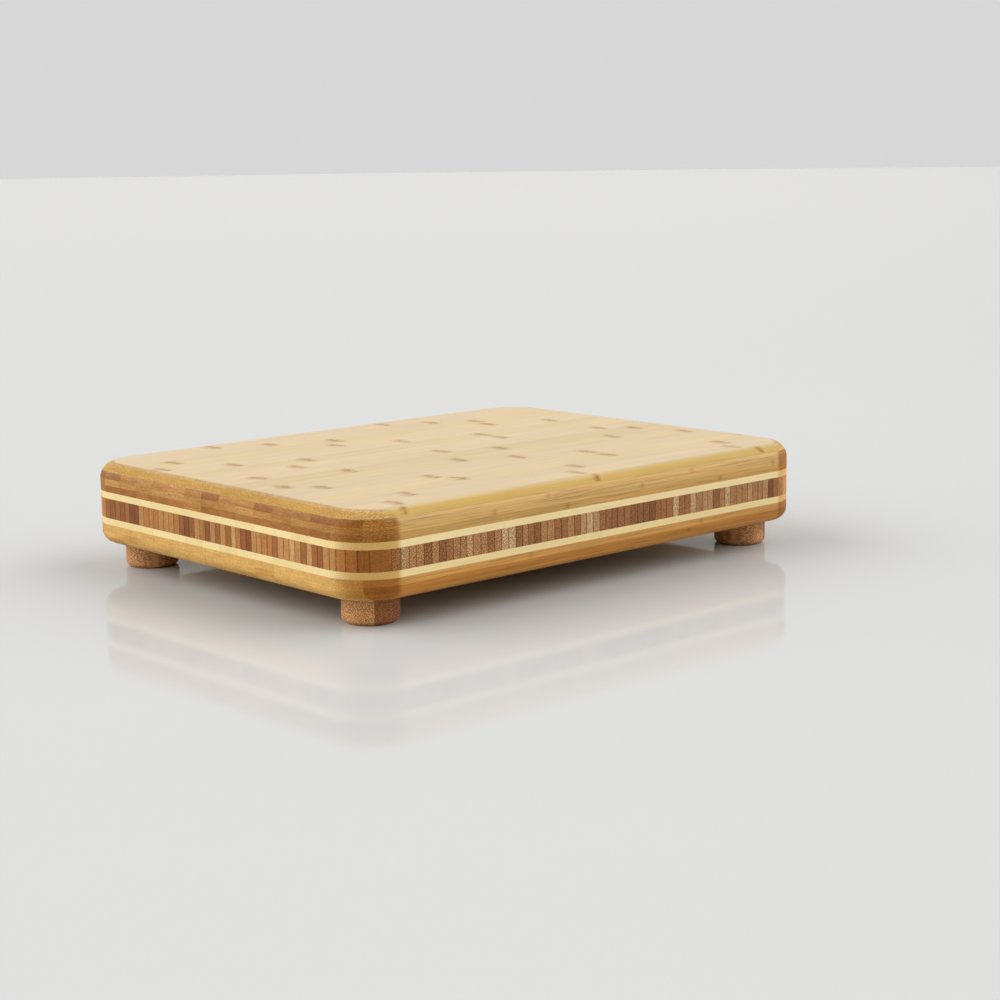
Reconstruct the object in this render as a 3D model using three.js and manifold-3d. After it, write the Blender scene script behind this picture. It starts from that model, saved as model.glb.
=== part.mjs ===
// Footed cutting board, glued up from bamboo layers.
//
// Millimetres, +Z up, +X along the board's length, +Y towards its back edge.
// The origin is on the counter, under the middle of the board.
//
// From the counter up: four turned feet, each held by a wood screw; a bottom
// ply of separate strips; two inner plies; a pale stripe; a dark core of staves
// on edge; a second pale stripe; three inner plies; and a top ply of strips,
// which is the working surface.

import * as THREE from 'three';
import { mergeVertices } from 'three/addons/utils/BufferGeometryUtils.js';
import Module from 'manifold-3d';

// ---- Driving dimensions ----

const LENGTH = 406;
const WIDTH = 305;
const CORNER_R = 33;
const TOP_EDGE_R = 11;
const UNDER_EDGE_R = 8;
const CORNER_SEGMENTS = 8;
const EDGE_SEGMENTS = 5;

const OUTER_PLY = 5;
const INNER_PLY = 4.5;
const CORE_DEPTH = 13.5;
const STRIP_WIDTH = 19;
const FULL_STRIPS = 15;
const CORE_END_LENGTH = 24;

const FOOT_R = 18;
const FOOT_HEIGHT = 18;
const FOOT_EDGE_R = 4;
const FOOT_SEGMENTS = 32;

const SCREW_SHANK_R = 2;
const SCREW_HEAD_R = 4;
const SCREW_HEAD_HEIGHT = 3;
const SCREW_LENGTH = 24;
const SCREW_POINT = 4;
const SCREW_SEGMENTS = 16;
const SOCKET_R = 1.6;
const SOCKET_DEPTH = 1.6;
const COUNTERBORE_R = 6.5;
const COUNTERBORE_DEPTH = 7;
const CLEARANCE = 0.3;

// ---- Materials ----

const bamboo = (color, roughness) => new THREE.MeshStandardMaterial({ color, roughness, metalness: 0 });
const topBamboo = bamboo(0xe3bd7c, 0.4);
const darkPlyBamboo = bamboo(0xa56f38, 0.45);
const honeyPlyBamboo = bamboo(0xc08a4c, 0.45);
const paleBamboo = bamboo(0xf0d99c, 0.4);
const carbonisedBamboo = bamboo(0x8f5f3a, 0.5);
const lowerBamboo = bamboo(0xc98d45, 0.45);
const footBamboo = bamboo(0xa96b42, 0.5);
const screwSteel = new THREE.MeshStandardMaterial({ color: 0xb9bcc0, roughness: 0.35, metalness: 1 });

// ---- Solids: joining and cutting ----

const wasm = await Module();
wasm.setup();

function toSolid(geometry) {
  const bare = geometry.clone();
  bare.deleteAttribute('normal');
  bare.deleteAttribute('uv');
  const merged = mergeVertices(bare, 1e-4);
  const mesh = new wasm.Mesh({
    numProp: 3,
    vertProperties: new Float32Array(merged.attributes.position.array),
    triVerts: new Uint32Array(merged.index.array),
  });
  return new wasm.Manifold(mesh);
}

function toGeometry(solid) {
  const { vertProperties, triVerts } = solid.getMesh();
  const geometry = new THREE.BufferGeometry();
  geometry.setAttribute('position', new THREE.BufferAttribute(vertProperties, 3));
  geometry.setIndex(new THREE.BufferAttribute(triVerts, 1));
  geometry.computeVertexNormals();
  return geometry;
}

function boxSolid([x0, x1], [y0, y1], [z0, z1]) {
  const box = new THREE.BoxGeometry(x1 - x0, y1 - y0, z1 - z0);
  box.translate((x0 + x1) / 2, (y0 + y1) / 2, (z0 + z1) / 2);
  return toSolid(box);
}

// A lathe turns a profile of [radius, height] points about Y; this one stands it up along Z.
function turned(profile, segments) {
  const geometry = new THREE.LatheGeometry(profile.map(([r, z]) => new THREE.Vector2(r, z)), segments);
  geometry.rotateX(Math.PI / 2);
  return toSolid(geometry);
}

const board = new THREE.Group();

function addPiece(name, solid, material) {
  const mesh = new THREE.Mesh(toGeometry(solid), material);
  mesh.name = name;
  board.add(mesh);
}

// ---- The board's outer form, before it is divided into layers ----

function roundedRectangle() {
  const cornerX = LENGTH / 2 - CORNER_R;
  const cornerY = WIDTH / 2 - CORNER_R;
  const outline = new THREE.Shape();
  outline.absarc(cornerX, -cornerY, CORNER_R, -Math.PI / 2, 0);
  outline.absarc(cornerX, cornerY, CORNER_R, 0, Math.PI / 2);
  outline.absarc(-cornerX, cornerY, CORNER_R, Math.PI / 2, Math.PI);
  outline.absarc(-cornerX, -cornerY, CORNER_R, Math.PI, 1.5 * Math.PI);
  outline.closePath();
  return outline;
}

// A slab between two heights with both of its rims rounded to edgeRadius.
function roundedSlab(edgeRadius, zLow, zHigh) {
  const geometry = new THREE.ExtrudeGeometry(roundedRectangle(), {
    depth: zHigh - zLow - 2 * edgeRadius,
    curveSegments: CORNER_SEGMENTS,
    bevelSegments: EDGE_SEGMENTS,
    bevelThickness: edgeRadius,
    bevelSize: edgeRadius,
    bevelOffset: -edgeRadius,
  });
  geometry.translate(0, 0, zLow + edgeRadius);
  return toSolid(geometry);
}

// ---- Layers, from the underside up ----

const layers = {};
let height = FOOT_HEIGHT;

function stackLayer(name, thickness) {
  layers[name] = [height, height + thickness];
  height += thickness;
}

stackLayer('bottom_strips', OUTER_PLY);
stackLayer('lower_ply_2', INNER_PLY);
stackLayer('lower_ply_1', INNER_PLY);
stackLayer('lower_stripe', INNER_PLY);
stackLayer('core', CORE_DEPTH);
stackLayer('upper_stripe', INNER_PLY);
stackLayer('upper_ply_3', INNER_PLY);
stackLayer('upper_ply_2', INNER_PLY);
stackLayer('upper_ply_1', INNER_PLY);
stackLayer('top_strips', OUTER_PLY);

const BOARD_TOP = height;

// Each slab reaches well past the other's rounded rim, so the two share only their true rims.
const topForm = roundedSlab(TOP_EDGE_R, FOOT_HEIGHT - 2 * TOP_EDGE_R, BOARD_TOP);
const underForm = roundedSlab(UNDER_EDGE_R, FOOT_HEIGHT, BOARD_TOP + 2 * UNDER_EDGE_R);
const block = topForm.intersect(underForm);

const ALL_X = [-LENGTH, LENGTH];
const ALL_Y = [-WIDTH, WIDTH];

// ---- Pilot holes for the foot screws ----

const footX = LENGTH / 2 - CORNER_R;
const footY = WIDTH / 2 - CORNER_R;
const footPlaces = {
  front_left: [-footX, -footY],
  front_right: [footX, -footY],
  back_left: [-footX, footY],
  back_right: [footX, footY],
};

const screwSeat = COUNTERBORE_DEPTH;
const screwTip = screwSeat + SCREW_LENGTH;
const holeR = SCREW_SHANK_R + CLEARANCE;

function drilled(solid) {
  let result = solid;
  for (const [x, y] of Object.values(footPlaces)) {
    const hole = new THREE.CylinderGeometry(holeR, holeR, screwTip + CLEARANCE, SCREW_SEGMENTS);
    hole.rotateX(Math.PI / 2);
    hole.translate(x, y, (screwTip + CLEARANCE) / 2);
    result = result.subtract(toSolid(hole));
  }
  return result;
}

// ---- Plies, stripes and core ----

function addLayer(name, material) {
  const piece = block.intersect(boxSolid(ALL_X, ALL_Y, layers[name]));
  addPiece(name, drilled(piece), material);
}

// The strips run the board's length; the two at its long edges are what is left of the width.
function addStrips(layerName, pieceName, material) {
  const fullWidth = FULL_STRIPS * STRIP_WIDTH;
  const joints = [-WIDTH / 2];
  for (let i = 0; i <= FULL_STRIPS; i += 1) {
    joints.push(-fullWidth / 2 + i * STRIP_WIDTH);
  }
  joints.push(WIDTH / 2);
  for (let i = 0; i + 1 < joints.length; i += 1) {
    const strip = block.intersect(boxSolid(ALL_X, [joints[i], joints[i + 1]], layers[layerName]));
    addPiece(`${pieceName}_${String(i + 1).padStart(2, '0')}`, drilled(strip), material);
  }
}

// The long middle of the core has its staves across the board, and each end block has them along it.
function addCore() {
  const fieldEnd = LENGTH / 2 - CORE_END_LENGTH;
  const spans = {
    core_end_left: [-LENGTH, -fieldEnd],
    core_field: [-fieldEnd, fieldEnd],
    core_end_right: [fieldEnd, LENGTH],
  };
  for (const [name, span] of Object.entries(spans)) {
    addPiece(name, block.intersect(boxSolid(span, ALL_Y, layers.core)), carbonisedBamboo);
  }
}

addStrips('bottom_strips', 'bottom_strip', lowerBamboo);
addLayer('lower_ply_2', lowerBamboo);
addLayer('lower_ply_1', lowerBamboo);
addLayer('lower_stripe', paleBamboo);
addCore();
addLayer('upper_stripe', paleBamboo);
addLayer('upper_ply_3', darkPlyBamboo);
addLayer('upper_ply_2', honeyPlyBamboo);
addLayer('upper_ply_1', darkPlyBamboo);
addStrips('top_strips', 'top_strip', topBamboo);

// ---- Feet and their screws ----

function footSolid() {
  const rim = [];
  for (let i = 0; i <= EDGE_SEGMENTS; i += 1) {
    const angle = (i / EDGE_SEGMENTS) * (Math.PI / 2);
    const radius = FOOT_R - FOOT_EDGE_R * (1 - Math.sin(angle));
    rim.push([radius, FOOT_EDGE_R * (1 - Math.cos(angle))]);
  }
  const profile = [
    [COUNTERBORE_R, 0],
    ...rim,
    [FOOT_R, FOOT_HEIGHT],
    [holeR, FOOT_HEIGHT],
    [holeR, screwSeat],
    [COUNTERBORE_R, screwSeat],
    [COUNTERBORE_R, 0],
  ];
  return turned(profile, FOOT_SEGMENTS);
}

// A pan-head wood screw standing point up, its head's seat against the counterbore's floor.
function screwSolid() {
  const headBottom = screwSeat - SCREW_HEAD_HEIGHT;
  const profile = [
    [0, headBottom],
    [SCREW_HEAD_R * 0.7, headBottom],
    [SCREW_HEAD_R * 0.94, headBottom + SCREW_HEAD_HEIGHT * 0.3],
    [SCREW_HEAD_R, headBottom + SCREW_HEAD_HEIGHT * 0.7],
    [SCREW_HEAD_R, screwSeat],
    [SCREW_SHANK_R, screwSeat],
    [SCREW_SHANK_R, screwTip - SCREW_POINT],
    [0, screwTip],
  ];
  const socket = new THREE.CylinderGeometry(SOCKET_R, SOCKET_R, 2 * SOCKET_DEPTH, 6);
  socket.rotateX(Math.PI / 2);
  socket.translate(0, 0, headBottom);
  return turned(profile, SCREW_SEGMENTS).subtract(toSolid(socket));
}

const foot = footSolid();
const screw = screwSolid();
for (const [place, [x, y]] of Object.entries(footPlaces)) {
  addPiece(`foot_${place}`, foot.translate([x, y, 0]), footBamboo);
  addPiece(`foot_screw_${place}`, screw.translate([x, y, 0]), screwSteel);
}

export default board;
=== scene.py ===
"""Looks of a footed bamboo cutting board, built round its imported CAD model.

Metres, +Z up, +X along the board's length. Each bamboo strip and stave is a solid of its own, cut
to the board's rounded block. Its mesh carries attributes that its material reads: "grain", where a
point lies along, across and through the strip, in millimetres from the strip's middle; "facing",
how squarely the surface faces those three ways; "size", half the strip's width and thickness;
"knots", where its nodes are; and "tint", its colour.
"""

import math
import random
from collections import namedtuple

import bmesh
import bpy
from mathutils import Matrix, Vector


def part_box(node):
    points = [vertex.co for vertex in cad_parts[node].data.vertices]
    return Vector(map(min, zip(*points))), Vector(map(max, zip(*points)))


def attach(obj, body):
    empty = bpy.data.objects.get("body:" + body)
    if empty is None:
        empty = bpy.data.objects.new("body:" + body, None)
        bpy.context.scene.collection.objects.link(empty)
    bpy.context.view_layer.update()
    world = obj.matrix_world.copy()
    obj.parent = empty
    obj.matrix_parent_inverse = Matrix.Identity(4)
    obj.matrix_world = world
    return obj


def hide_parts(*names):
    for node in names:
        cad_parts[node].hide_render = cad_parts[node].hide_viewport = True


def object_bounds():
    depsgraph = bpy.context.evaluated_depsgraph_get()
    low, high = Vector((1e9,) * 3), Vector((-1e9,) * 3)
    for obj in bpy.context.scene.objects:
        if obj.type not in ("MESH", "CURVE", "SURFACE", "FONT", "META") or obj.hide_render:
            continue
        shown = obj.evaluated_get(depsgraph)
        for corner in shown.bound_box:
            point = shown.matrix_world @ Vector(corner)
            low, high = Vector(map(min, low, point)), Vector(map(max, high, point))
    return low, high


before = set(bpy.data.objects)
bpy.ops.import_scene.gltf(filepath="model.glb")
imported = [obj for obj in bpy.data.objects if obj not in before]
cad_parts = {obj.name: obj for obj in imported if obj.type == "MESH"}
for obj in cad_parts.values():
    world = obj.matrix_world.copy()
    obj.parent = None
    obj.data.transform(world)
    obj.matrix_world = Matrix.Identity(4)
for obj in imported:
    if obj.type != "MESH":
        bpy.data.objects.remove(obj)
cad_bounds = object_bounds()

MM = 0.001
random.seed(16)

# ---- Sizes ----

HALF_X = cad_bounds[1].x
HALF_Y = cad_bounds[1].y
TOP_Z = cad_bounds[1].z
FOOT_LOW, FOOT_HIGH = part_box("foot_back_right")
UNDER_Z = FOOT_HIGH.z
FOOT_R = (FOOT_HIGH.x - FOOT_LOW.x) / 2
CORNER_X = (FOOT_LOW.x + FOOT_HIGH.x) / 2
CORNER_Y = (FOOT_LOW.y + FOOT_HIGH.y) / 2
CORNER_R = HALF_X - CORNER_X
FIELD_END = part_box("core_field")[1].x

TOP_EDGE_R = 11 * MM
UNDER_EDGE_R = 8 * MM
TOP_EDGE_Z = TOP_Z - TOP_EDGE_R
UNDER_EDGE_Z = UNDER_Z + UNDER_EDGE_R
EDGE_STEP = 6
ARC_STEP = 1.2 * MM
MERGE = 1e-7
SMOOTH_WITHIN = math.cos(math.radians(14))
FAR = 1.0

STRIPS = 17
DRILLED_STRIPS = (3, 15)
DRILLED_LAYERS = ("lower_ply_2", "lower_ply_1")
HOLE_R = 2.3 * MM
HOLE_TOP = 31.3 * MM

PLACES = ("front_left", "front_right", "back_left", "back_right")

# ---- Colours of the strips and staves ----


def linear(red, green, blue):
    """A screen colour, each part from 0 to 255, as linear light."""
    return tuple((part / 255) ** 2.2 for part in (red, green, blue))


TINTS = {
    # core, from dark russet to pale
    "a": linear(134, 80, 42),
    "b": linear(148, 92, 50),
    "c": linear(161, 102, 56),
    "d": linear(178, 120, 68),
    "e": linear(188, 136, 82),
    "f": linear(200, 155, 101),
    # top, light honey, paled towards cream partly as a painted sheen
    "g": linear(200, 180, 142),
    "h": linear(202, 181, 148),
    "i": linear(197, 176, 138),
    # upper plies, from russet to honey
    "j": linear(176, 125, 66),
    "k": linear(186, 138, 76),
    "l": linear(198, 151, 87),
    "m": linear(208, 164, 97),
    "n": linear(218, 177, 112),
    # lower plies, from dark brown to gold
    "o": linear(192, 130, 60),
    "p": linear(206, 143, 66),
    "q": linear(208, 155, 86),
    "r": linear(223, 175, 102),
    # stripes, cream
    "s": linear(249, 227, 172),
    "t": linear(246, 223, 165),
}

# One letter for each strip, from the front edge to the back edge.
STRIP_TINTS = {
    "top_strip": "ghhghhgihhghgghhg",
    "upper_ply_1": "nkjlljmmjlnmnmkjm",
    "upper_ply_2": "nmlmlmnmlmnnmmnlm",
    "upper_ply_3": "mlkkllmlkmlllkklk",
    "upper_stripe": "ssttsstssttsstsst",
    "lower_stripe": "tssstsststssttsss",
    "lower_ply_1": "qrrrrrrrrrrrrrrrr",
    "lower_ply_2": "orrrrqrrrrrrrqrrr",
    "bottom_strip": "prrrrrqrrrrrrrqrr",
}

# One letter for each stave: the field's from left to right, the end blocks' from back to front.
FIELD_TINTS = "ceddbdbcddeddcdffbdcbddccdcefeccbccbbbacccfccfdeebdfdddeddeacd"
LEFT_END_TINTS = "dcdedcbcbcaaedddeeedbabedbececfdbaeeddceefecfcbeedcbc"
RIGHT_END_TINTS = "ecdbcdeedcabcddefdccbdeecdbbcdeedcafdccdebcddecbadcde"

# Where the top strips' nodes are: the first one and the distance between them, in millimetres.
TOP_KNOTS = (
    (-166, 162), (-161, 153), (-135, 145), (-75, 135), (-83, 143), (-157, 168),
    (-173, 148), (-105, 135), (-164, 155.5), (-119, 184), (-96, 161), (-143, 147),
    (-188, 146.5), (-166, 138), (-71.5, 152), (-108, 156), (-140, 150),
)

# ---- The rounded block ----

# A lamella is one strip or stave. Its axis is 0 along X or 1 along Y. It lies between two places
# across that axis, two heights, and two ends, unless the block's outline ends it sooner.
Lamella = namedtuple("Lamella", "axis across heights ends tint knots")


def rim_inset(z):
    """How far the block's outline draws in at a height, where its rims are rounded."""
    if z > TOP_EDGE_Z:
        return TOP_EDGE_R - math.sqrt(max(TOP_EDGE_R**2 - (z - TOP_EDGE_Z) ** 2, 0))
    if z < UNDER_EDGE_Z:
        return UNDER_EDGE_R - math.sqrt(max(UNDER_EDGE_R**2 - (UNDER_EDGE_Z - z) ** 2, 0))
    return 0.0


def reach(axis, across, z):
    """How far the block goes each way along an axis, at a place across it."""
    half, centre = (HALF_X, CORNER_X) if axis == 0 else (HALF_Y, CORNER_Y)
    across_centre = CORNER_Y if axis == 0 else CORNER_X
    over = abs(across) - across_centre
    if over <= 0:
        return half - rim_inset(z)
    radius = CORNER_R - rim_inset(z)
    return centre + math.sqrt(max(radius**2 - over**2, 0))


def unrolled(place, centre, radius):
    """Distance round the outline to a place across the block, with a corner's arc at full length."""
    over = abs(place) - centre
    if over <= 0:
        return place
    return math.copysign(centre + radius * math.asin(min(over / radius, 1)), place)


def rolled(distance, centre, radius):
    """The place across the block at a distance round its outline."""
    over = abs(distance) - centre
    if over <= 0:
        return distance
    return math.copysign(centre + radius * math.sin(over / radius), distance)


def block_normal(point):
    """Which way the block's skin faces at a point on it."""
    x, y, z = point
    inset = rim_inset(z)
    if abs(x) > CORNER_X and abs(y) > CORNER_Y:
        outward = Vector((abs(x) - CORNER_X, abs(y) - CORNER_Y, 0)).normalized()
    elif HALF_X - inset - abs(x) < HALF_Y - inset - abs(y):
        outward = Vector((1, 0, 0))
    else:
        outward = Vector((0, 1, 0))
    outward = Vector((math.copysign(outward.x, x), math.copysign(outward.y, y), 0))
    rise = max((z - TOP_EDGE_Z) / TOP_EDGE_R, 0) - max((UNDER_EDGE_Z - z) / UNDER_EDGE_R, 0)
    rise = max(-1, min(1, rise))
    return outward * math.sqrt(1 - rise**2) + Vector((0, 0, rise))


# ---- Meshes of lamellae ----


def mesh_heights(lamella):
    """Heights for a lamella's rows of points, close together where the rims are rounded."""
    low, high = lamella.heights
    inner = min(abs(place) for place in lamella.across)
    drawn_in = (HALF_Y if lamella.axis == 0 else HALF_X) - inner
    if drawn_in < TOP_EDGE_R:
        high = min(high, TOP_EDGE_Z + math.sqrt(TOP_EDGE_R**2 - (TOP_EDGE_R - drawn_in) ** 2))
    heights = [low, high]
    for degrees in range(0, 90, EDGE_STEP):
        sine = math.sin(math.radians(degrees))
        heights.append(TOP_EDGE_Z + TOP_EDGE_R * sine)
        heights.append(UNDER_EDGE_Z - UNDER_EDGE_R * sine)
    return sorted(z for z in heights if z in (low, high) or low + MERGE < z < high - MERGE)


def lamella_rows(lamella):
    """Rows of (start, end, across, height), a row for each height and an entry for each place across."""
    half, centre = (HALF_Y, CORNER_Y) if lamella.axis == 0 else (HALF_X, CORNER_X)
    low, high = lamella.across
    curved = max(abs(low), abs(high)) > centre
    columns = max(2, math.ceil((high - low) / ARC_STEP)) if curved else 1
    rows = []
    for z in mesh_heights(lamella):
        limit = half - rim_inset(z)
        radius = CORNER_R - rim_inset(z)
        first = unrolled(max(low, -limit), centre, radius)
        last = unrolled(min(high, limit), centre, radius)
        row = []
        for column in range(columns + 1):
            place = rolled(first + (last - first) * column / columns, centre, radius)
            far = reach(lamella.axis, place, z)
            row.append((max(lamella.ends[0], -far), min(lamella.ends[1], far), place, z))
        rows.append(row)
    return rows


def add_lamella(build, lamella, part):
    """Adds a lamella to a bmesh as a closed shell, its faces marked with a part number."""
    marks = build.faces.layers.int["part"]
    corners = {}
    rows = lamella_rows(lamella)
    for i, row in enumerate(rows):
        for j, (start, end, place, z) in enumerate(row):
            for side, along in enumerate((start, end)):
                point = (along, place, z) if lamella.axis == 0 else (place, along, z)
                corners[i, j, side] = build.verts.new(point)
    last_row, last_column = len(rows) - 1, len(rows[0]) - 1

    def face(*keys):
        build.faces.new([corners[key] for key in keys])[marks] = part

    for i in range(last_row):
        for j in range(last_column):
            for side in (0, 1):
                face((i, j, side), (i, j + 1, side), (i + 1, j + 1, side), (i + 1, j, side))
        for j in (0, last_column):
            face((i, j, 0), (i, j, 1), (i + 1, j, 1), (i + 1, j, 0))
    for j in range(last_column):
        for i in (0, last_row):
            face((i, j, 0), (i, j, 1), (i, j + 1, 1), (i, j + 1, 0))
    bmesh.ops.remove_doubles(build, verts=list(corners.values()), dist=MERGE)


def new_build():
    build = bmesh.new()
    build.faces.layers.int.new("part")
    return build


def finish_build(build, name):
    """Turns a bmesh into a mesh with its faces outward."""
    bmesh.ops.recalc_face_normals(build, faces=build.faces)
    mesh = bpy.data.meshes.new(name)
    build.to_mesh(mesh)
    build.free()
    return mesh


def drilled(mesh, drill):
    """A copy of a mesh with the drill's shape cut out of it."""
    target = bpy.data.objects.new("target", mesh)
    bpy.context.collection.objects.link(target)
    cut = target.modifiers.new("holes", "BOOLEAN")
    cut.object = drill
    cut.solver = "EXACT"
    graph = bpy.context.evaluated_depsgraph_get()
    result = bpy.data.meshes.new_from_object(
        target.evaluated_get(graph), preserve_all_data_layers=True, depsgraph=graph
    )
    bpy.data.objects.remove(target)
    return result


def set_attribute(mesh, name, kind, values):
    """Stores one value for each corner of each face."""
    layer = mesh.attributes.new(name, kind, "CORNER")
    key = "color" if kind == "FLOAT_COLOR" else "vector"
    layer.data.foreach_set(key, [number for value in values for number in value])


def describe(mesh, lamellae, skin_normal):
    """Gives a mesh its normals, and the attributes that the bamboo material reads."""
    parts = mesh.attributes["part"].data
    normals, grains, facings, sizes, knots, tints = [], [], [], [], [], []
    for polygon in mesh.polygons:
        lamella = lamellae[parts[polygon.index].value]
        middle = sum(lamella.across) / 2
        half_width = (lamella.across[1] - lamella.across[0]) / 2
        centre_z = sum(lamella.heights) / 2
        half_depth = (lamella.heights[1] - lamella.heights[0]) / 2
        for index in polygon.vertices:
            point = mesh.vertices[index].co
            exact = skin_normal(point)
            normal = exact if polygon.normal.dot(exact) > SMOOTH_WITHIN else polygon.normal
            along, across = (point.x, point.y) if lamella.axis == 0 else (point.y, point.x)
            turned = (normal.x, normal.y) if lamella.axis == 0 else (normal.y, normal.x)
            normals.append(normal.copy())
            grains.append((along / MM, (across - middle) / MM, (point.z - centre_z) / MM))
            facings.append((abs(turned[0]), abs(turned[1]), abs(normal.z)))
            sizes.append((half_width / MM, half_depth / MM, 0))
            knots.append(lamella.knots)
            tints.append((*lamella.tint, 1))
    mesh.polygons.foreach_set("use_smooth", [True] * len(mesh.polygons))
    mesh.normals_split_custom_set(normals)
    set_attribute(mesh, "grain", "FLOAT_VECTOR", grains)
    set_attribute(mesh, "facing", "FLOAT_VECTOR", facings)
    set_attribute(mesh, "size", "FLOAT_VECTOR", sizes)
    set_attribute(mesh, "knots", "FLOAT_VECTOR", knots)
    set_attribute(mesh, "tint", "FLOAT_COLOR", tints)
    mesh.attributes.remove(mesh.attributes["part"])


def add_piece(name, mesh, material, slot, *nodes):
    """Links a mesh as a piece of the board that stands for CAD nodes."""
    piece = bpy.data.objects.new(name, mesh)
    bpy.context.collection.objects.link(piece)
    mesh.materials.append(material)
    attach(piece, "root")
    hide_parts(*nodes)


def glued_mesh(name, lamellae, drilled_parts=(), drill=None):
    """One mesh of lamellae, each a closed shell, with pilot holes through some of them."""
    whole = new_build()
    for part, lamella in enumerate(lamellae):
        build = new_build()
        add_lamella(build, lamella, part)
        mesh = finish_build(build, name)
        if part in drilled_parts:
            mesh = drilled(mesh, drill)
        whole.from_mesh(mesh)
        bpy.data.meshes.remove(mesh)
    mesh = bpy.data.meshes.new(name)
    whole.to_mesh(mesh)
    whole.free()
    describe(mesh, lamellae, block_normal)
    return mesh


# ---- Bamboo ----


class Tree:
    """Adds nodes to a material or world, their inputs given as values or as other nodes' outputs."""

    def __init__(self, owner):
        owner.use_nodes = True
        self.nodes = owner.node_tree.nodes
        self.links = owner.node_tree.links

    def add(self, kind, inputs, output=0, **settings):
        node = self.nodes.new("ShaderNode" + kind)
        for key, value in settings.items():
            setattr(node, key, value)
        self.fill(node, inputs)
        return node.outputs[output]

    def fill(self, node, inputs):
        for key, value in inputs.items():
            if isinstance(value, bpy.types.NodeSocket):
                self.links.new(value, node.inputs[key])
            else:
                node.inputs[key].default_value = value

    def math(self, operation, *values):
        return self.add("Math", dict(enumerate(values)), operation=operation)

    def vector(self, operation, *values):
        return self.add("VectorMath", dict(enumerate(values)), operation=operation)

    def attribute(self, name, output="Vector"):
        return self.add("Attribute", {}, output, attribute_name=name)

    def split(self, vector):
        node = self.nodes.new("ShaderNodeSeparateXYZ")
        self.links.new(vector, node.inputs[0])
        return node.outputs

    def noise(self, vector, scale, detail=3.0, roughness=0.55):
        inputs = {"Vector": vector, "Scale": scale, "Detail": detail, "Roughness": roughness}
        return self.add("TexNoise", inputs, "Fac")

    def step(self, value, start, end, low=0.0, high=1.0, easing="SMOOTHSTEP"):
        """Eases from low to high as the value goes from start to end."""
        inputs = {"Value": value, "From Min": start, "From Max": end, "To Min": low, "To Max": high}
        return self.add("MapRange", inputs, "Result", interpolation_type=easing)

    def scaled(self, colour, factor):
        return self.add("VectorMath", {0: colour, "Scale": factor}, operation="SCALE")

    def mix(self, factor, first, second):
        node = self.nodes.new("ShaderNodeMix")
        node.data_type = "RGBA"
        self.fill(node, {"Factor": factor, 6: first, 7: second})
        return node.outputs[2]


# How one bamboo looks.
#   dots, pitch: how strongly its bundles show on sawn ends, and the millimetres between them
#   layers, layering: how the sawn ends are banded, and how strongly
#   drift, streaks, veins: how uneven it is along the grain, from broad to fine
#   side_tint, end_tint, slant_tint: its casts on upright faces, on sawn ends, and on
#     sawn ends where a corner's arc slants across the fibres. On the top strips the upright faces' golden
#     cast leaves the flat top paler and creamier than its rims: a painted sheen
#   joint, seam, seam_width: its glue lines between layers and between strips
#   knot: how strongly its nodes show
#   roughness, specular: its polish
BambooLook = namedtuple(
    "BambooLook",
    "dots pitch layers layering drift streaks veins side_tint end_tint slant_tint"
    " joint seam seam_width knot roughness specular",
)

# How far apart the patterns of two strips are, for each step between their own numbers.
APART = (37.0, 11.0, 5.0)

# Casts laid over the strip's own colour.
VEIN_TINT = (0.62, 0.53, 0.38)
STREAK_TINT = (0.97, 0.90, 0.76)
NODE_TINT = (0.60, 0.46, 0.30)
GLUE_TINT = (0.42, 0.33, 0.26)

# At full strength, how much redder, greener and bluer than its ground a dot is, and how much less
# so the ground between the dots.
DOT_GAIN = (0.85, 1.25, 2.0)
GROUND_LOSS = (0.30, 0.33, 0.38)

# Voronoi cells are on a square grid. Turned by 45 degrees, they make the bundles' staggered rows.
DIAGONAL = 0.707


class Spot:
    """What the material reads from the mesh at a point of a strip."""

    def __init__(self, tree):
        grain = tree.attribute("grain")
        self.along, self.across, self.through = tree.split(grain)
        self.end, self.sideways, self.upward = tree.split(tree.attribute("facing"))
        self.half_width, self.half_depth, _ = tree.split(tree.attribute("size"))
        self.first_knot, self.knot_pitch, seed = tree.split(tree.attribute("knots"))
        self.place = tree.vector("ADD", grain, tree.scaled(APART, seed))
        self.side_on = tree.math("SUBTRACT", 1.0, self.end)

    def grain_noise(self, tree, stretch, detail, roughness):
        """Noise drawn out along the fibres."""
        return tree.noise(tree.vector("MULTIPLY", self.place, stretch), 1.0, detail, roughness)


def bundle_dots(tree, spot, pitch):
    """1 on a vascular bundle and 0 off it. The bundles are staggered, and wander as they run."""
    slow = tree.vector("MULTIPLY", spot.place, (0.02, 0.06, 0.06))
    warp = tree.add("TexNoise", {"Vector": slow, "Scale": 1.0, "Detail": 1.0}, "Color")
    _, aside, above = tree.split(tree.vector("MULTIPLY_ADD", warp, (0, 2.0, 2.0), spot.place))
    diagonals = {0: tree.math("ADD", aside, above), 1: tree.math("SUBTRACT", aside, above), 2: 0.0}
    cells = {"Vector": tree.add("CombineXYZ", diagonals), "Scale": DIAGONAL / pitch, "Randomness": 0.65}
    distance = tree.add("TexVoronoi", cells, "Distance", voronoi_dimensions="2D")
    return tree.step(distance, 0.14, 0.46, 1.0, 0.0)


def distance_to_node(tree, spot):
    """Signed distance along the strip to its nearest node, whose line wanders."""
    wander = spot.grain_noise(tree, (0.02, 0.22, 0.06), 2.0, 0.5)
    shift = tree.math("MULTIPLY", tree.math("SUBTRACT", wander, 0.5), 7.0)
    wandering = tree.math("ADD", spot.along, shift)
    turns = tree.math("DIVIDE", tree.math("SUBTRACT", wandering, spot.first_knot), spot.knot_pitch)
    off_turn = tree.math("SUBTRACT", turns, tree.math("ROUND", turns))
    return tree.math("MULTIPLY", off_turn, spot.knot_pitch)


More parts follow.
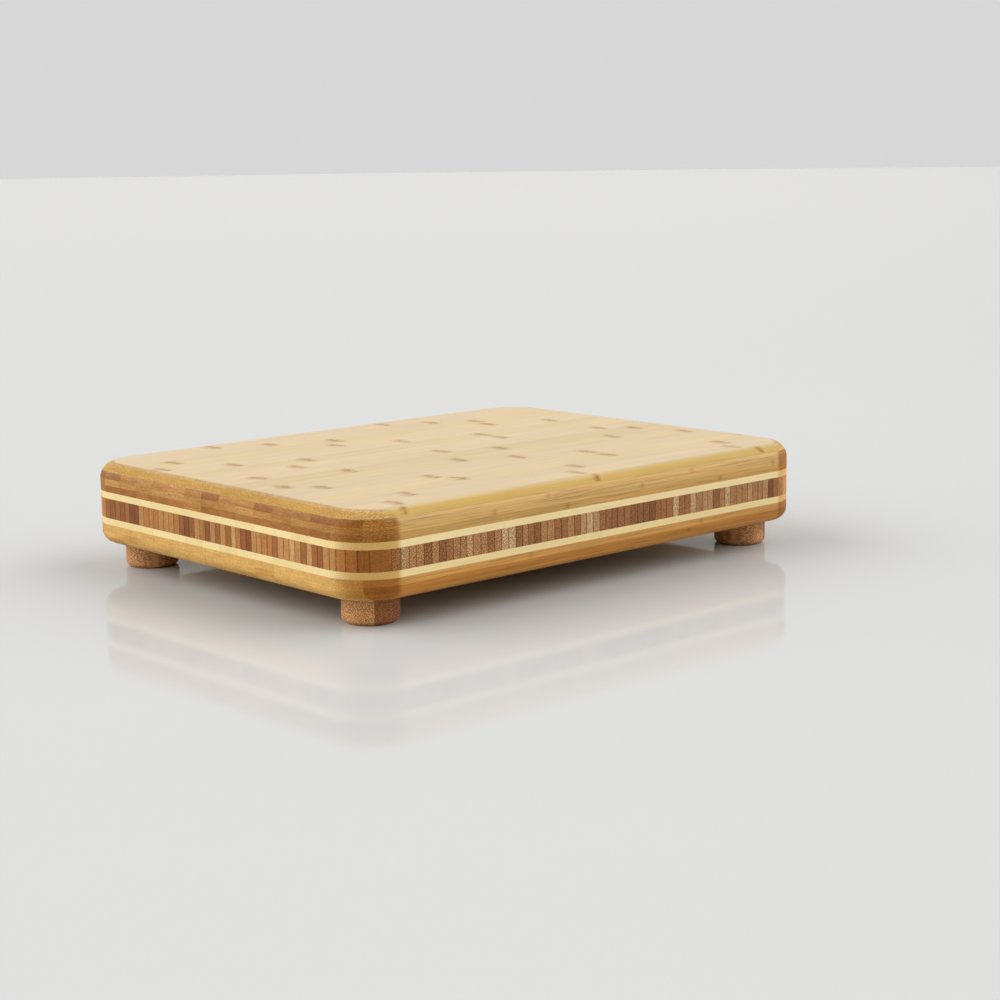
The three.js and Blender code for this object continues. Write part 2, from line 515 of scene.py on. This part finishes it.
def node_marks(tree, spot):
    """A node's mark, and the fine line in it. The mark is smaller on a strip's narrow sides."""
    off_node = distance_to_node(tree, spot)
    wisp = spot.grain_noise(tree, (0.07, 0.5, 0.5), 3.0, 0.6)
    out = tree.math("DIVIDE", tree.math("ABSOLUTE", spot.across), spot.half_width)
    out = tree.math("MULTIPLY", out, spot.upward)
    off_middle = tree.math("DIVIDE", tree.math("ABSOLUTE", spot.through), spot.half_depth)
    out = tree.math("MULTIPLY_ADD", off_middle, spot.sideways, out)
    narrowing = tree.math("MULTIPLY_ADD", spot.sideways, 1.2, 1.0)
    off_line = tree.math("MULTIPLY", tree.math("ABSOLUTE", off_node), narrowing)
    far = tree.math("MULTIPLY_ADD", tree.math("POWER", out, 4.0), 4.0, off_line)
    band = tree.step(far, 0.5, 8.5, 1.0, 0.0)
    band = tree.math("MULTIPLY", band, tree.step(wisp, 0.32, 0.62, 0.3, 0.9))
    line = tree.step(tree.math("ABSOLUTE", tree.math("SUBTRACT", off_node, 1.1)), 0.2, 1.8, 1.0, 0.0)
    inside = tree.math("MULTIPLY", spot.side_on, tree.step(out, 0.6, 1.0, 1.0, 0.3))
    inside = tree.math("MULTIPLY", inside, tree.step(spot.upward, 0.2, 0.95, 0.75, 1.0))
    mark = tree.math("MULTIPLY", tree.math("MULTIPLY_ADD", line, 0.4, band), inside)
    return mark, line


def glue_lines(tree, spot, look):
    """Glue lines where strips meet: not on the faces that lie in the joints themselves."""
    gap_across = tree.math("SUBTRACT", spot.half_width, tree.math("ABSOLUTE", spot.across))
    gap_through = tree.math("SUBTRACT", spot.half_depth, tree.math("ABSOLUTE", spot.through))
    seam = tree.step(gap_across, 0.04, look.seam_width, look.seam, 0.0)
    seam = tree.math("MULTIPLY", seam, tree.step(spot.sideways, 0.6, 0.98, 1.0, 0.0))
    joint = tree.step(gap_through, 0.02, 0.25, look.joint, 0.0)
    joint = tree.math("MULTIPLY", joint, tree.step(spot.upward, 0.6, 0.98, 1.0, 0.0))
    return tree.math("MAXIMUM", seam, joint)


def tinted(tree, colour, tint):
    return tree.vector("MULTIPLY", colour, tint)


def side_colour(tree, spot, look, bundle, streaks):
    """Colour along the grain, where a bundle shows as a line that comes and goes."""
    shown = tree.step(spot.grain_noise(tree, (0.03, 0.5, 0.5), 3.0, 0.55), 0.35, 0.65)
    lines = tree.math("MULTIPLY", tree.math("MULTIPLY", bundle, shown), spot.side_on)
    drift = spot.grain_noise(tree, (0.011, 0.11, 0.11), 2.0, 0.5)
    veins = spot.grain_noise(tree, (0.03, 1.7, 1.7), 2.0, 0.6)
    light = tree.step(streaks, 0.32, 0.68, 1 - look.streaks, 1 + look.streaks)
    light = tree.math("MULTIPLY", light, tree.step(drift, 0.3, 0.7, 1 - look.drift, 1 + look.drift))
    light = tree.math("MULTIPLY", light, tree.math("MULTIPLY_ADD", lines, -look.streaks, 1.0))
    colour = tree.scaled(tree.attribute("tint", "Color"), light)
    colour = tree.mix(tree.step(streaks, 0.4, 0.75), colour, tinted(tree, colour, STREAK_TINT))
    vein = tree.math("MULTIPLY", tree.step(veins, 0.5, 0.68, 0.0, look.veins), spot.side_on)
    colour = tree.mix(vein, colour, tinted(tree, colour, VEIN_TINT))
    # Faces that don't face up take the side tint. On the top strips it is golden, so the flat top stays paler
    # and creamier: a painted sheen.
    return tree.mix(tree.step(spot.upward, 0.99, 0.82), colour, tinted(tree, colour, look.side_tint))


def end_colour(tree, spot, look, bundle, colour):
    """Colour of a sawn end: pale dots on a ground with a cast of its own where a corner's arc slants."""
    layers = spot.grain_noise(tree, look.layers, 2.0, 0.6)
    ground = tinted(tree, colour, look.end_tint)
    slant = tree.step(spot.sideways, 0.05, 0.62)
    ground = tree.mix(slant, ground, tinted(tree, colour, look.slant_tint))
    ground = tree.scaled(ground, tree.step(layers, 0.3, 0.7, 1 - look.layering, 1 + look.layering))
    between = tinted(tree, ground, tuple(1 - part * look.dots for part in GROUND_LOSS))
    pale = tinted(tree, ground, tuple(1 + part * look.dots for part in DOT_GAIN))
    return tree.mix(bundle, between, pale)


def bamboo(name, look):
    """Bamboo whose fibres run along each strip: streaks on its sides, and dots on its sawn ends."""
    material = bpy.data.materials.new(name)
    tree = Tree(material)
    spot = Spot(tree)
    bundle = bundle_dots(tree, spot, look.pitch)
    streaks = spot.grain_noise(tree, (0.012, 0.62, 0.62), 3.0, 0.6)
    mark, mark_line = node_marks(tree, spot)
    glue = glue_lines(tree, spot, look)

    colour = side_colour(tree, spot, look, bundle, streaks)
    sawn = end_colour(tree, spot, look, bundle, colour)
    colour = tree.mix(tree.step(spot.end, 0.03, 0.17), colour, sawn)
    colour = tree.mix(tree.math("MULTIPLY", mark, look.knot), colour, tinted(tree, colour, NODE_TINT))
    colour = tree.mix(glue, colour, tinted(tree, colour, GLUE_TINT))

    gloss = tree.math("MULTIPLY_ADD", streaks, 0.16, look.roughness - 0.08)
    gloss = tree.math("MULTIPLY_ADD", spot.end, 0.08, gloss)
    gloss = tree.math("MULTIPLY_ADD", mark, 0.06, gloss)
    height = tree.math("MULTIPLY_ADD", bundle, 0.6, streaks)
    height = tree.math("SUBTRACT", height, tree.math("MULTIPLY", glue, 1.2))
    height = tree.math("SUBTRACT", height, tree.math("MULTIPLY", mark_line, 0.6))
    bump = tree.add("Bump", {"Strength": 0.35, "Distance": 0.05 * MM, "Height": height})
    surface = {"Base Color": colour, "Roughness": gloss, "Normal": bump, "Specular IOR Level": look.specular}
    tree.fill(tree.nodes["Principled BSDF"], surface)
    return material


# Strips that lie flat, and are banded from layer to layer.
PLY = BambooLook(
    dots=0.3, pitch=1.2, layers=(0.01, 0.06, 0.8), layering=0.15, drift=0.06, streaks=0.12, veins=0.65,
    side_tint=(1, 1, 1), end_tint=(0.65, 0.48, 0.31), slant_tint=(0.60, 0.40, 0.20),
    joint=0.1, seam=0.15, seam_width=0.3, knot=0.6, roughness=0.45, specular=0.2,
)
# Staves that stand on edge, and are banded from side to side.
STAVE = BambooLook(
    dots=0.58, pitch=1.35, layers=(0.01, 0.7, 0.05), layering=0.1, drift=0.06, streaks=0.12, veins=0.4,
    side_tint=(1, 1, 1), end_tint=(0.88, 0.87, 0.86), slant_tint=(0.90, 0.72, 0.46),
    joint=0.3, seam=0.9, seam_width=0.7, knot=0.3, roughness=0.46, specular=0.2,
)
LOOKS = {
    # The top's golden side tint leaves its flat face paler and creamier than its rims: a painted sheen.
    "top_bamboo": PLY._replace(
        layering=0.08, drift=0.035, streaks=0.055, veins=0.08, side_tint=(1.03, 0.86, 0.40),
        end_tint=(0.79, 0.65, 0.45), slant_tint=(0.94, 0.88, 1.02), seam=0.1, knot=0.85,
        roughness=0.4, specular=0.1,
    ),
    "upper_dark_bamboo": PLY,
    "upper_honey_bamboo": PLY._replace(end_tint=(0.71, 0.58, 0.46)),
    "stripe_bamboo": PLY._replace(
        dots=0.06, layering=0.02, drift=0.02, streaks=0.05, veins=0.12,
        end_tint=(0.93, 0.91, 0.86), slant_tint=(0.77, 0.60, 0.36), knot=0.1, roughness=0.42,
    ),
    "core_bamboo": STAVE,
    "core_end_bamboo": STAVE._replace(
        dots=0.22, pitch=1.2, end_tint=(0.93, 0.90, 0.84), slant_tint=(1.04, 0.98, 0.62),
    ),
    "lower_bamboo": PLY._replace(
        dots=0.16, layering=0.09, veins=0.6, end_tint=(0.91, 0.91, 0.85), slant_tint=(0.64, 0.47, 0.26),
        knot=0.5,
    ),
    "foot_bamboo": STAVE._replace(
        dots=0.6, pitch=1.25, streaks=0.15, veins=0.3, end_tint=(0.75, 0.68, 0.62),
        slant_tint=(0.75, 0.68, 0.62), seam=0.6, seam_width=0.6, knot=0.1, roughness=0.48,
    ),
}
MATERIALS = {name: bamboo(name.replace("_", " "), look) for name, look in LOOKS.items()}

# ---- Strips, plies and stripes ----

JOINTS = [-HALF_Y] + [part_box(f"bottom_strip_{n:02d}")[1].y for n in range(1, STRIPS)] + [HALF_Y]

# How much lighter or darker than its letter a strip or a stave is, and how wide staves can be
# beside the usual one.
STRIP_SPREAD = 0.03
STAVE_SPREAD = 0.06
STAVE_WIDTHS = (0.88, 1.12)

# Where a strip's first node can be and how far its next ones, in millimetres, and its own number.
FIRST_KNOTS = (-200, -60)
KNOT_SPACINGS = (130, 175)
GRAIN_NUMBERS = (0, 100)


def varied(tint, spread, cast=(1, 1, 1)):
    """A letter's colour under a colour cast, a little lighter or darker."""
    shade = random.uniform(1 - spread, 1 + spread)
    return tuple(part * shade * toward for part, toward in zip(TINTS[tint], cast))


def some_knots():
    """Nodes at a place and spacing of their own, with a number that sets one strip's grain apart."""
    return tuple(random.uniform(*span) for span in (FIRST_KNOTS, KNOT_SPACINGS, GRAIN_NUMBERS))


def strip_lamellae(tints, heights):
    """The strips of one layer, from its front edge to its back edge."""
    return [
        Lamella(0, (JOINTS[i], JOINTS[i + 1]), heights, (-FAR, FAR), varied(tint, STRIP_SPREAD), some_knots())
        for i, tint in enumerate(tints)
    ]


def node_heights(node):
    low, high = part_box(node)
    return (low.z, high.z)


def make_drill():
    """The pilot holes' shape: a rod on each foot's axis."""
    build = new_build()
    depth = HOLE_TOP - UNDER_Z / 2
    for place in PLACES:
        low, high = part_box(f"foot_{place}")
        middle = ((low.x + high.x) / 2, (low.y + high.y) / 2, UNDER_Z / 2 + depth / 2)
        bmesh.ops.create_cone(
            build, cap_ends=True, segments=32, radius1=HOLE_R, radius2=HOLE_R, depth=depth,
            matrix=Matrix.Translation(middle),
        )
    drill = bpy.data.objects.new("drill", finish_build(build, "drill"))
    bpy.context.collection.objects.link(drill)
    return drill


def build_strips(prefix, slot, knots, drilled_strips, drill):
    """A layer whose strips are pieces of their own."""
    heights = (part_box(f"{prefix}_09")[0].z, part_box(f"{prefix}_09")[1].z)
    for i, lamella in enumerate(strip_lamellae(STRIP_TINTS[prefix], heights)):
        if knots:
            lamella = lamella._replace(knots=(*knots[i], lamella.knots[2]))
        name = f"{prefix}_{i + 1:02d}"
        mesh = glued_mesh(f"bamboo_{name}", [lamella], (0,) if i + 1 in drilled_strips else (), drill)
        add_piece(f"bamboo_{name}", mesh, MATERIALS[slot], slot, name)


def build_layer(node, slot, drill):
    """A ply or stripe: its strips glued side by side."""
    holes = tuple(n - 1 for n in DRILLED_STRIPS) if node in DRILLED_LAYERS else ()
    lamellae = strip_lamellae(STRIP_TINTS[node], node_heights(node))
    mesh = glued_mesh(f"bamboo_{node}", lamellae, holes, drill)
    add_piece(f"bamboo_{node}", mesh, MATERIALS[slot], slot, node)


# ---- Core ----


def stave_joints(start, end, count):
    """Where staves meet between two places, no two of them quite the same width."""
    widths = [random.uniform(*STAVE_WIDTHS) for _ in range(count)]
    step = (end - start) / sum(widths)
    joints = [start]
    for width in widths:
        joints.append(joints[-1] + width * step)
    joints[-1] = end
    return joints


def build_staves(prefix, node, axis, limit, ends, tints, look, cast=(1, 1, 1)):
    """A block of staves on edge, side by side across the given axis."""
    joints = stave_joints(-limit, limit, len(tints))
    for i, tint in enumerate(tints):
        across = (joints[i], joints[i + 1])
        colour = varied(tint, STAVE_SPREAD, cast)
        lamella = Lamella(axis, across, node_heights(node), ends, colour, some_knots())
        name = f"{prefix}_{i + 1:02d}"
        add_piece(name, glued_mesh(name, [lamella]), MATERIALS[look], "core_bamboo", node)


# The field's sawn ends, which show on the long faces, are paler and greyer than the end blocks'.
FIELD_CAST = (1.06, 1.18, 1.48)


def build_core():
    corner = math.sqrt(CORNER_R**2 - (FIELD_END - CORNER_X) ** 2)
    end_limit = CORNER_Y + corner
    left, right = (-FAR, -FIELD_END), (FIELD_END, FAR)
    left_tints, right_tints = LEFT_END_TINTS[::-1], RIGHT_END_TINTS[::-1]
    whole = (-FAR, FAR)
    build_staves("core_stave", "core_field", 1, FIELD_END, whole, FIELD_TINTS, "core_bamboo", FIELD_CAST)
    build_staves("left_stave", "core_end_left", 0, end_limit, left, left_tints, "core_end_bamboo")
    build_staves("right_stave", "core_end_right", 0, end_limit, right, right_tints, "core_end_bamboo")


# ---- Feet and screws ----

FOOT_EDGE_R = 4 * MM
COUNTERBORE_R = 6.5 * MM
COUNTERBORE_DEPTH = 7 * MM
BORE_CHAMFER = 0.5 * MM
FOOT_SEGMENTS = 128
# The two blocks' colours. The darker second block is partly the wood's own tone and partly a painted shade,
# for a foot's side that the board shades.
FOOT_TINTS_WITH_PAINTED_SHADE = (linear(226, 170, 114), linear(168, 112, 72))

HEAD_R = 4 * MM
HEAD_HEIGHT = 3 * MM
HEAD_CHAMFER = 0.2 * MM
SOCKET_R = 1.6 * MM
SOCKET_DEPTH = 1.6 * MM
SOCKET_FLARE = 0.15 * MM
SOCKET_FLARE_DEPTH = 0.1 * MM
THREAD_CORE_R = 1.45 * MM
THREAD_CREST_R = 2.1 * MM
THREAD_PITCH = 1.7 * MM
THREAD_RINGS_PER_TURN = 8
THREAD_SLOPE = 0.24
NECK_LENGTH = 0.8 * MM
THREAD_START = 1.2 * MM
POINT_LENGTH = 4 * MM
SCREW_SEGMENTS = 36


def revolved(rings, segments, closed):
    """A bmesh of rings round the Z axis, each with a radius for every angle and a height.

    A closed one joins its last ring to its first; an open one is capped at both ends."""
    build = new_build()
    loops = []
    for radius, z in rings:
        loop = []
        for i in range(segments):
            angle = 2 * math.pi * i / segments
            r = radius(angle) if callable(radius) else radius
            loop.append(build.verts.new((r * math.cos(angle), r * math.sin(angle), z)))
        loops.append(loop)
    pairs = list(zip(loops, loops[1:]))
    if closed:
        pairs.append((loops[-1], loops[0]))
    else:
        build.faces.new(loops[0])
        build.faces.new(loops[-1])
    for lower, upper in pairs:
        for i in range(segments):
            after = (i + 1) % segments
            build.faces.new((lower[i], lower[after], upper[after], upper[i]))
    return build


def foot_rings():
    """The foot's section, from the mouth of its counterbore round its edge and back down its bore."""
    rings = [(COUNTERBORE_R + BORE_CHAMFER, 0)]
    for degrees in range(0, 91, 9):
        angle = math.radians(degrees)
        rings.append((FOOT_R - FOOT_EDGE_R * (1 - math.sin(angle)), FOOT_EDGE_R * (1 - math.cos(angle))))
    rings.append((FOOT_R, UNDER_Z))
    rings.append((HOLE_R, UNDER_Z))
    rings.append((HOLE_R, COUNTERBORE_DEPTH))
    rings.append((COUNTERBORE_R, COUNTERBORE_DEPTH))
    rings.append((COUNTERBORE_R, BORE_CHAMFER))
    return rings


def foot_normal(point):
    """Which way the foot's turned surface faces at a point on it."""
    outward = Vector((point.x, point.y, 0))
    if outward.length < COUNTERBORE_R + BORE_CHAMFER / 2:
        return -outward.normalized()
    fall = max((FOOT_EDGE_R - point.z) / FOOT_EDGE_R, 0)
    return outward.normalized() * math.sqrt(1 - fall**2) - Vector((0, 0, fall))


def node_axis(node):
    """The place on the ground of a round CAD node's axis."""
    low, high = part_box(node)
    return Vector(((low.x + high.x) / 2, (low.y + high.y) / 2, 0))


def build_foot(place, turn, joint):
    """A turned foot, glued up from two blocks whose end grain faces the same way."""
    build = revolved(foot_rings(), FOOT_SEGMENTS, closed=True)
    everything = build.verts[:] + build.edges[:] + build.faces[:]
    bmesh.ops.bisect_plane(build, geom=everything, plane_co=(joint, 0, 0), plane_no=(1, 0, 0))
    marks = build.faces.layers.int["part"]
    for face in build.faces:
        face[marks] = int(face.calc_center_median().x > joint)
    mesh = finish_build(build, f"turned_foot_{place}")
    sides = ((joint - 2 * FOOT_R, joint), (joint, joint + 2 * FOOT_R))
    blocks = [
        Lamella(1, across, (-UNDER_Z, 2 * UNDER_Z), (-FAR, FAR), tint, some_knots())
        for across, tint in zip(sides, FOOT_TINTS_WITH_PAINTED_SHADE)
    ]
    describe(mesh, blocks, foot_normal)
    mesh.transform(Matrix.Translation(node_axis(f"foot_{place}")) @ Matrix.Rotation(turn, 4, "Z"))
    add_piece(f"turned_foot_{place}", mesh, MATERIALS["foot_bamboo"], "foot_bamboo", f"foot_{place}")


def hexagon(angle):
    """The socket's radius at an angle."""
    return SOCKET_R * math.cos(math.pi / 6) / math.cos((angle + math.pi / 6) % (math.pi / 3) - math.pi / 6)


def thread_radius(rise, taper):
    """The radius round one ring of the thread, which stands at a height above the thread's start."""

    def radius(angle):
        turn = (rise / THREAD_PITCH - angle / (2 * math.pi)) % 1
        crest = max(0, 1 - abs(turn - 0.5) / THREAD_SLOPE)
        run_in = min(1, rise / THREAD_PITCH)
        return taper * (THREAD_CORE_R + (THREAD_CREST_R - THREAD_CORE_R) * crest * run_in)

    return radius


def screw_rings(seat, tip):
    """The screw from the floor of its socket, round its pan head and up its thread to the point."""
    head = seat - HEAD_HEIGHT
    rings = [(hexagon, head + SOCKET_DEPTH), (hexagon, head + SOCKET_FLARE_DEPTH)]
    rings.append((lambda angle: hexagon(angle) + SOCKET_FLARE, head))
    rings.append((HEAD_R * 0.6, head))
    for degrees in range(0, 91, 10):
        angle = math.radians(degrees)
        radius = HEAD_R * (0.68 + 0.32 * math.sin(angle))
        rings.append((radius, head + HEAD_HEIGHT * 0.6 * (1 - math.cos(angle))))
    rings.append((HEAD_R, seat - HEAD_CHAMFER))
    rings.append((HEAD_R - HEAD_CHAMFER, seat))
    rings.append((THREAD_CREST_R, seat))
    rings.append((THREAD_CORE_R, seat + NECK_LENGTH))
    start = seat + THREAD_START
    steps = round((tip - start) / THREAD_PITCH * THREAD_RINGS_PER_TURN)
    for i in range(steps + 1):
        z = start + (tip - start) * i / steps
        taper = min(1, 0.08 + 0.92 * (tip - z) / POINT_LENGTH)
        rings.append((thread_radius(z - start, taper), z))
    return rings


def build_screw(place, material):
    _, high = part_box(f"foot_screw_{place}")
    build = revolved(screw_rings(COUNTERBORE_DEPTH, high.z), SCREW_SEGMENTS, closed=False)
    mesh = finish_build(build, f"pan_head_screw_{place}")
    mesh.polygons.foreach_set("use_smooth", [True] * len(mesh.polygons))
    mesh.set_sharp_from_angle(angle=math.radians(32))
    mesh.attributes.remove(mesh.attributes["part"])
    mesh.transform(Matrix.Translation(node_axis(f"foot_screw_{place}")))
    add_piece(f"pan_head_screw_{place}", mesh, material, "screw_steel", f"foot_screw_{place}")


def steel():
    """Zinc-plated steel, cloudy and finely scratched round its axis."""
    material = bpy.data.materials.new("screw steel")
    tree = Tree(material)
    place = tree.add("TexCoord", {}, "Object")
    cloud = tree.noise(place, 700.0, 4.0)
    fine = tree.noise(tree.vector("MULTIPLY", place, (1.0, 1.0, 6.0)), 2600.0, 2.0)
    colour = tree.mix(tree.step(cloud, 0.35, 0.65), (0.42, 0.43, 0.45, 1), (0.62, 0.62, 0.60, 1))
    gloss = tree.math("MULTIPLY_ADD", fine, 0.2, 0.22)
    bump = tree.add("Bump", {"Strength": 0.2, "Distance": 0.02 * MM, "Height": fine})
    surface = {"Base Color": colour, "Roughness": gloss, "Normal": bump, "Metallic": 1.0}
    tree.fill(tree.nodes["Principled BSDF"], surface)
    return material


# ---- The board ----

drill = make_drill()
build_strips("top_strip", "top_bamboo", TOP_KNOTS, (), drill)
build_layer("upper_ply_1", "upper_dark_bamboo", drill)
build_layer("upper_ply_2", "upper_honey_bamboo", drill)
build_layer("upper_ply_3", "upper_dark_bamboo", drill)
build_layer("upper_stripe", "stripe_bamboo", drill)
build_core()
build_layer("lower_stripe", "stripe_bamboo", drill)
build_layer("lower_ply_1", "lower_bamboo", drill)
build_layer("lower_ply_2", "lower_bamboo", drill)
build_strips("bottom_strip", "lower_bamboo", None, DRILLED_STRIPS, drill)
bpy.data.objects.remove(drill)

# How far each foot is turned, in degrees, and where its glue joint is. The front left foot is turned so that
# its darker block, partly a painted shade, lies on the side to the camera's right, where the board shades it.
FOOT_TURNS = {
    "front_left": (-42, 3.4 * MM),
    "front_right": (28, -2.0 * MM),
    "back_left": (64, 4.0 * MM),
    "back_right": (-15, 1.0 * MM),
}
screw_steel = steel()
for place, (turn, joint) in FOOT_TURNS.items():
    build_foot(place, math.radians(turn), joint)
    build_screw(place, screw_steel)

# ---- Floor, light and camera ----

FLOOR_R = 14.0
FLOOR_COLOUR = (0.537, 0.547, 0.557, 1)
FLOOR_ROUGHNESS = 0.07
FLOOR_GLOSS_SHARE = 0.6


def build_floor():
    """A pale polished counter, a plain disc."""
    build = new_build()
    bmesh.ops.create_circle(build, cap_ends=True, segments=128, radius=FLOOR_R)
    floor = bpy.data.objects.new("counter", finish_build(build, "counter"))
    bpy.context.collection.objects.link(floor)
    material = bpy.data.materials.new("pale counter")
    tree = Tree(material)
    gloss = tree.nodes["Principled BSDF"]
    tree.fill(gloss, {"Base Color": FLOOR_COLOUR, "Roughness": FLOOR_ROUGHNESS})
    matt = tree.add("BsdfDiffuse", {"Color": FLOOR_COLOUR})
    blend = tree.add("MixShader", {0: FLOOR_GLOSS_SHARE, 1: matt, 2: gloss.outputs[0]})
    tree.fill(tree.nodes["Material Output"], {"Surface": blend})
    floor.data.materials.append(material)


# Patches of light: which way each one aims, the cosines where it starts and is full, how strong it
# is, and whether it fades towards the horizon.
TENT = (
    ((-0.78, 0.56, 0.36), 0.56, 0.97, 3.8, True),
    ((0.76, -0.60, 0.55), 0.58, 0.97, 3.15, True),
    ((0.30, 1.08, 0.14), 0.20, 0.90, 0.73, False),
    ((0, 0, 1), 0.50, 1.00, 0.1, False),
)
TENT_GLOW = 0.045
TENT_COLOUR = (1.0, 0.985, 0.96, 1)
BACKDROP_COLOUR = (0.68, 0.68, 0.68, 1)

# Patches that fade keep this share of their light at the horizon, and have all of it this far up.
HORIZON_LIGHT = 0.04
HORIZON_TOP = 0.45


def build_world():
    """A light tent: bright behind to the left and in front to the right, soft behind and above.

    The backdrop that the camera sees is as pale as the counter."""
    world = bpy.data.worlds.new("studio")
    tree = Tree(world)
    direction = tree.add("TexCoord", {}, "Generated")
    _, _, height = tree.split(direction)
    raised = tree.step(height, 0.0, HORIZON_TOP, HORIZON_LIGHT, 1.0)
    light = TENT_GLOW
    for aim, start, full, strength, fades in TENT:
        towards = {0: direction, 1: Vector(aim).normalized()}
        facing = tree.add("VectorMath", towards, "Value", operation="DOT_PRODUCT")
        patch = tree.step(facing, start, full, 0.0, strength, "SMOOTHERSTEP")
        if fades:
            patch = tree.math("MULTIPLY", patch, raised)
        light = tree.math("ADD", light, patch)
    tent = tree.nodes["Background"]
    tree.fill(tent, {"Color": TENT_COLOUR, "Strength": light})
    backdrop = tree.add("Background", {"Color": BACKDROP_COLOUR})
    seen = tree.add("LightPath", {}, "Is Camera Ray")
    chosen = tree.add("MixShader", {0: seen, 1: tent.outputs[0], 2: backdrop})
    tree.fill(tree.nodes["World Output"], {"Surface": chosen})
    bpy.context.scene.world = world


CAMERA_AZIMUTH = math.radians(-42.48)
CAMERA_RISE = math.radians(10.12)
CAMERA_ROLL = math.radians(-0.72)
CAMERA_DISTANCE = 1.4321
CAMERA_TARGET = Vector((0.01439, -0.03569, 0.04))
CAMERA_LENS = 74.32


def build_camera():
    """The camera looks at the board's near corner from a little above it."""
    level = math.cos(CAMERA_RISE)
    back = Vector((
        math.sin(CAMERA_AZIMUTH) * level,
        -math.cos(CAMERA_AZIMUTH) * level,
        math.sin(CAMERA_RISE),
    ))
    right = (-back).cross(Vector((0, 0, 1))).normalized()
    up = right.cross(-back)
    tilted_right = right * math.cos(CAMERA_ROLL) + up * math.sin(CAMERA_ROLL)
    tilted_up = up * math.cos(CAMERA_ROLL) - right * math.sin(CAMERA_ROLL)
    data = bpy.data.cameras.new("camera")
    data.lens = CAMERA_LENS
    data.sensor_width = 36
    camera = bpy.data.objects.new("camera", data)
    bpy.context.collection.objects.link(camera)
    turn = Matrix((tilted_right, tilted_up, back)).transposed().to_4x4()
    camera.matrix_world = Matrix.Translation(CAMERA_TARGET + back * CAMERA_DISTANCE) @ turn
    bpy.context.scene.camera = camera


build_floor()
build_world()
build_camera()
bpy.context.scene.view_settings.view_transform = "Standard"


def corners(bounds):
    return [list(corner) for corner in bounds]
